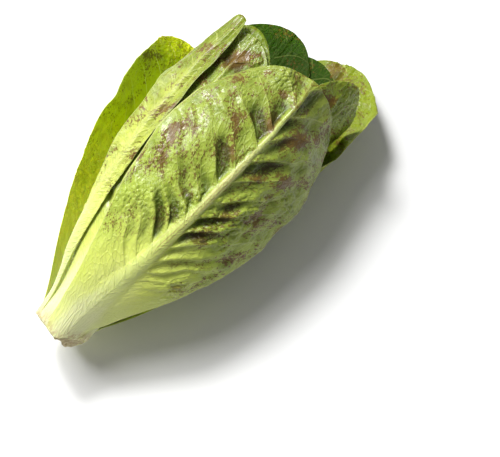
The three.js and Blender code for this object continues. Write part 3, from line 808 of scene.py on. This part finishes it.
def leaf_material(name, look):
    """Blade, veins, rib and maroon speckles, and the small relief that the mesh is too coarse for."""
    n = Nodes(name)
    on = OnLeaf(n)
    blade, ripeness = green_blade(n, on, look)
    blade, vein, net = veined(n, on, look, blade)
    blade, maroon = speckled(n, on, look, blade, ripeness)
    colour = edged(n, on, look, ribbed(n, on, look, blade, maroon))
    pores = n.noise(on.place, 1.6, 3.0)
    wrinkles = n.noise(on.place, 0.45, 4.0, 0.6, 0.4)
    lines = n.noise(n.vector(n.times(on.x, 1.6), n.times(on.y, 0.05), on.number), 1.0, 2.0)
    wrinkled = n.times(wrinkles, n.smooth(on.u, 0.16, 0.42))
    height = n.times_plus(pores, 0.2, n.times(wrinkled, n.times_plus(on.blistered, 1.4, 0.7)))
    height = n.times_plus(n.smooth(net, 0.0, 0.16), -0.3, height)
    height = n.times_plus(vein, 0.5, height)
    height = n.plus(height, n.times(lines, n.times(n.smooth(on.u, 0.45, 0.1), 0.55)))
    rough = n.times_plus(wrinkles, 0.2, n.times_plus(n.smooth(on.drift, 0.35, 0.65), -0.1, look["rough"]))
    surface = n.shader.inputs
    n.feed(surface["Base Color"], colour)
    n.feed(surface["Normal"], n.bump(height, 0.7, 0.0009))
    n.feed(surface["Roughness"], n.times_plus(on.blistered, -0.14, rough))
    surface["Specular IOR Level"].default_value = 0.1 + 0.6 * look["gloss"]
    surface["Coat Weight"].default_value = look["gloss"]
    surface["Coat Roughness"].default_value = 0.18
    n.glow(look["glow"], (0.8, 1.0, 0.25), 0.0022)
    return n.material


def leaf_list():
    """Every large leaf, from the outermost to the innermost."""
    inner = []
    for k in range(INNER_LEAVES):
        s = k / (INNER_LEAVES - 1)
        sizes = {key: mix(FIRST_INNER[key], LAST_INNER[key], s) for key in FIRST_INNER}
        inner.append(dict(sizes, name=f"leaf_inner_{k + 1:02d}", swell=INNER_SWELL, unrest=0.7,
                          bearing=math.fmod(INNER_BEARING + SPIRAL * k, 360), lean=6 * math.sin(2.4 * k),
                          hollows=(0.9, 0.9), grid=INNER_GRID, look="leaf_inner", speckle=0.55))
    leaves = []
    count = len(OUTER_LEAVES) + INNER_LEAVES
    for k, leaf in enumerate(OUTER_LEAVES + inner):
        s = k / (count - 1)
        root, rib = mix(*ROOTS, s), mix(*RIBS, s)
        root_radius = stem_radius(root) + STEM_GAP + (SOLID_BLADE + rib) / 2
        floor_gap = LEAF_OVER_FLOOR * min(k, MOST_STEPS_OVER_FLOOR)
        leaves.append({**PLAIN, **leaf, "piece": leaf["name"] + "_fine", "seed": k + 1, "own_solid": True,
                       "root": root, "rib": rib, "root_radius": root_radius, "floor_gap": floor_gap,
                       "to_cut": k < len(OUTER_LEAVES)})
    return leaves


def heart_list():
    """The heart's small leaves, which share one solid."""
    leaves = []
    for k in range(HEART_LEAVES):
        s = k / (HEART_LEAVES - 1)
        sizes = {key: mix(FIRST_HEART[key], LAST_HEART[key], s) for key in FIRST_HEART}
        heart = dict(sizes, bearing=HEART_BEARING + SPIRAL * k, swell=INNER_SWELL, lean=8, flare=1.5,
                     hollows=(0.4, 0.4), grid=HEART_GRID, speckle=0.3, rib=1.2, seed=40 + k, unrest=0.5,
                     own_solid=False, root_radius=HEART_ROOT_RADIUS, to_cut=False, floor_gap=2.0)
        leaves.append({**PLAIN, **heart})
    return leaves


def add_heart(reach, materials):
    """The heart's leaves, joined into one piece."""
    points, faces, kept = [], [], []
    count = 0
    for leaf in heart_list():
        outer, inner, facts, U, V = leaf_mesh(leaf, reach)
        points += [outer.reshape(-1, 3), inner.reshape(-1, 3)]
        faces.append(closed_faces(*U.shape) + count)
        kept.append(leaf_facts(facts, U, V, leaf))
        count += 2 * U.size
    facts = {key: np.concatenate([one[key] for one in kept]) for key in kept[0]}
    points, faces = np.concatenate(points), np.concatenate(faces)
    return make_mesh("heart_leaves", points, faces, facts, materials["leaf_heart"])


def cut_ring(share, bearing):
    """A ring of the cut face at a share of its radius: ragged, and dished where the vessels are."""
    r = STEM_RADIUS * share * (1 - 0.012 * share)
    up, side = r * np.cos(np.radians(bearing)), r * np.sin(np.radians(bearing))
    ragged = (0.45 + 1.2 * ease(5, 9, side)) * value_noise(up / 3.1 + 20, side / 3.1 + 20, 5)
    dish = -0.5 * math.exp(-((share - VESSELS) / 0.10) ** 2) + 0.7 * (1 - share ** 2)
    return place(cut_height(bearing, r) + ragged + dish, bearing, np.full(STEM_ROUND, r))


def core_ring(share, bearing):
    """A ring of the stem's side, at a share of the way from the cut to the tip of the core."""
    t = mix(0.5, STEM_LENGTH - 1, share ** 1.4)
    ridges = 0.5 * np.cos(np.radians(bearing * 7 + 40)) + 0.5 * value_noise(bearing / 9, t / 8, 9)
    r = stem_radius(t) + ridges * (1 - share) * 0.6 - 0.9 * math.exp(-t / 1.1)
    low = cut_height(bearing, STEM_RADIUS)
    along = mix(low + t, t, ease(0, 16, t)) if share else low + 0.35
    return place(along, bearing, r)


def stem_piece():
    """The stump: an oblique, ragged cut with a narrow pit in its middle, ridged sides and a tapering core."""
    bearing = np.arange(STEM_ROUND) * 360 / STEM_ROUND
    shares = [k / FACE_ROWS for k in range(1, FACE_ROWS)]
    rings = [cut_ring(share, bearing) for share in shares]
    core_shares = [k / (STEM_ROWS - 1) for k in range(STEM_ROWS)]
    rings += [core_ring(share, bearing) for share in core_shares]
    kinds = shares + [1 + share for share in core_shares]
    pit, tip = place(PIT_FLOOR, 0.0, 0.0), place(STEM_LENGTH, 0.0, 0.0)
    points = np.concatenate([pit[None], *rings, tip[None]])
    count = len(rings)
    ring = lambda k: 1 + k * STEM_ROUND + np.arange(STEM_ROUND)
    quads = []
    for k in range(count - 1):
        a, b = ring(k), ring(k + 1)
        quads.append(np.stack([a, b, np.roll(b, -1), np.roll(a, -1)], axis=-1))
    quads = np.concatenate(quads)
    first, last = ring(0), ring(count - 1)
    caps = [np.stack([np.zeros(STEM_ROUND, int), first, np.roll(first, -1)], axis=-1),
            np.stack([np.full(STEM_ROUND, len(points) - 1), np.roll(last, -1), last], axis=-1)]
    kind = np.concatenate([[0.0], np.repeat(kinds, STEM_ROUND), [2.0]])
    angle = np.concatenate([[0.0], np.tile(bearing, count), [0.0]])
    side = np.minimum(kind, 1) * np.sin(np.radians(angle))
    triangles = np.concatenate([quads[:, [0, 1, 2]], quads[:, [0, 2, 3]], *caps])
    return make_mesh("stem_fine", points, triangles, {"stump": triples(kind, side, 0.0)}, stem_material())


def stem_material():
    """Cream flesh with a browned cut and a ring of vessels in it."""
    n = Nodes("stem_flesh")
    _, kind, side, _ = n.attribute("stump")
    where = n.put("ShaderNodeTexCoord").outputs["Object"]
    wide = n.noise(where, 90.0, 4.0, 0.6)
    fine = n.noise(where, 420.0, 4.0, 0.6)
    flesh = n.mix(n.smooth(wide, 0.3, 0.7), (0.80, 0.82, 0.58), (0.72, 0.76, 0.42))
    torn = n.mix(n.smooth(fine, 0.35, 0.65), (0.50, 0.43, 0.20), (0.30, 0.20, 0.07))
    vessels = n.close_to(VESSELS, kind, 0.03, 0.12)
    browned = n.times_plus(vessels, 0.3, n.times(wide, 0.5))
    browned = n.plus(browned, n.times(n.smooth(side, 0.3, 0.5), 0.6))
    on_cut = n.smooth(kind, 1.06, 0.98)
    colour = n.mix(on_cut, flesh, n.mix(browned, (0.68, 0.66, 0.42), torn))
    lip = n.close_to(1.0, kind, 0.01, 0.06)
    colour = n.mix(n.times(lip, 0.55), colour, (0.36, 0.25, 0.12))
    surface = n.shader.inputs
    n.feed(surface["Base Color"], colour)
    n.feed(surface["Roughness"], n.times_plus(fine, 0.2, 0.38))
    n.feed(surface["Normal"], n.bump(n.times_plus(wide, 0.7, fine), 0.6, 0.0005))
    n.glow(0.25, (1.0, 0.9, 0.5), 0.003)
    return n.material


def floor_piece():
    """A white surface that the head lies on."""
    mesh = bpy.data.meshes.new("studio_floor")
    corners = [(-1, -1), (1, -1), (1, 1), (-1, 1)]
    points = [(x * FLOOR_HALF, y * FLOOR_HALF, -FLOOR_DROP) for x, y in corners]
    mesh.from_pydata(points, [], [(0, 1, 2, 3)])
    n = Nodes("studio_floor")
    n.shader.inputs["Base Color"].default_value = (0.93, 0.93, 0.93, 1)
    n.shader.inputs["Roughness"].default_value = 0.75
    n.shader.inputs["Specular IOR Level"].default_value = 0.2
    mesh.materials.append(n.material)
    floor = bpy.data.objects.new("studio_floor", mesh)
    bpy.context.scene.collection.objects.link(floor)


def area_light(name, target, direction, distance, size, power):
    data = bpy.data.lights.new(name, "AREA")
    data.shape = "DISK"
    data.size = size
    data.energy = power
    lamp = bpy.data.objects.new(name, data)
    lamp.location = target + direction.normalized() * distance
    lamp.rotation_euler = direction.to_track_quat("Z", "Y").to_euler()
    bpy.context.scene.collection.objects.link(lamp)


def camera():
    """Looks at the head so that its cut lies at CUT_IN_PHOTO and the point at FRAMED_T is to scale."""
    up = CAMERA_BACK.cross(CAMERA_RIGHT).normalized()
    framed = Vector(place(FRAMED_T, 0.0, 0.0) * MM)
    cut = Vector(place(0.0, 0.0, 0.0) * MM)
    pixel = MM_PER_PIXEL * MM
    from_framed = cut - framed
    shrink = CAMERA_DISTANCE / (CAMERA_DISTANCE - from_framed.dot(CAMERA_BACK))
    framed_x = CUT_IN_PHOTO[0] - from_framed.dot(CAMERA_RIGHT) * shrink / pixel
    framed_y = CUT_IN_PHOTO[1] + from_framed.dot(up) * shrink / pixel
    aim = framed + CAMERA_RIGHT * (PHOTO_SIZE[0] / 2 - framed_x) * pixel
    aim += up * (framed_y - PHOTO_SIZE[1] / 2) * pixel
    data = bpy.data.cameras.new("camera")
    data.sensor_fit = "HORIZONTAL"
    data.sensor_width = 36
    data.lens = data.sensor_width * CAMERA_DISTANCE / (PHOTO_SIZE[0] * pixel)
    data.clip_start = 0.01
    eye = bpy.data.objects.new("camera", data)
    turned = Matrix((CAMERA_RIGHT, up, CAMERA_BACK)).transposed().to_4x4()
    eye.matrix_world = Matrix.Translation(aim + CAMERA_BACK * CAMERA_DISTANCE) @ turned
    bpy.context.scene.collection.objects.link(eye)
    bpy.context.scene.camera = eye


def light():
    """Two lamps above the head, towards the picture's upper left, and a white sky."""
    up = CAMERA_BACK.cross(CAMERA_RIGHT).normalized()
    left = -CAMERA_RIGHT
    straight_up = Vector((0, 0, 1))
    framed = Vector(place(FRAMED_T, 0.0, 0.0) * MM)
    area_light("key", framed, straight_up + up * 0.48 + left * 0.6, **KEY_LIGHT)
    area_light("glint", framed, straight_up + up * 0.7 + left * 0.35, **GLINT_LIGHT)
    world = bpy.data.worlds.new("studio")
    world.use_nodes = True
    sky = world.node_tree.nodes["Background"].inputs
    sky["Color"].default_value = (1, 1, 1, 1)
    sky["Strength"].default_value = SKY_STRENGTH
    bpy.context.scene.world = world
    bpy.context.scene.view_settings.view_transform = "Standard"


def build():
    materials = {name: leaf_material(name, {**PLAIN_LOOK, **look}) for name, look in LEAF_LOOKS.items()}
    reach = Reach()
    heart = add_heart(reach, materials)
    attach(heart, "root")
    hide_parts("heart")
    for leaf in reversed(leaf_list()):
        piece = add_leaf(leaf, reach, materials)
        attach(piece, "root")
        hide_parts(leaf["name"])
    stem = stem_piece()
    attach(stem, "root")
    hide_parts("stem")


camera()
light()
floor_piece()
build()
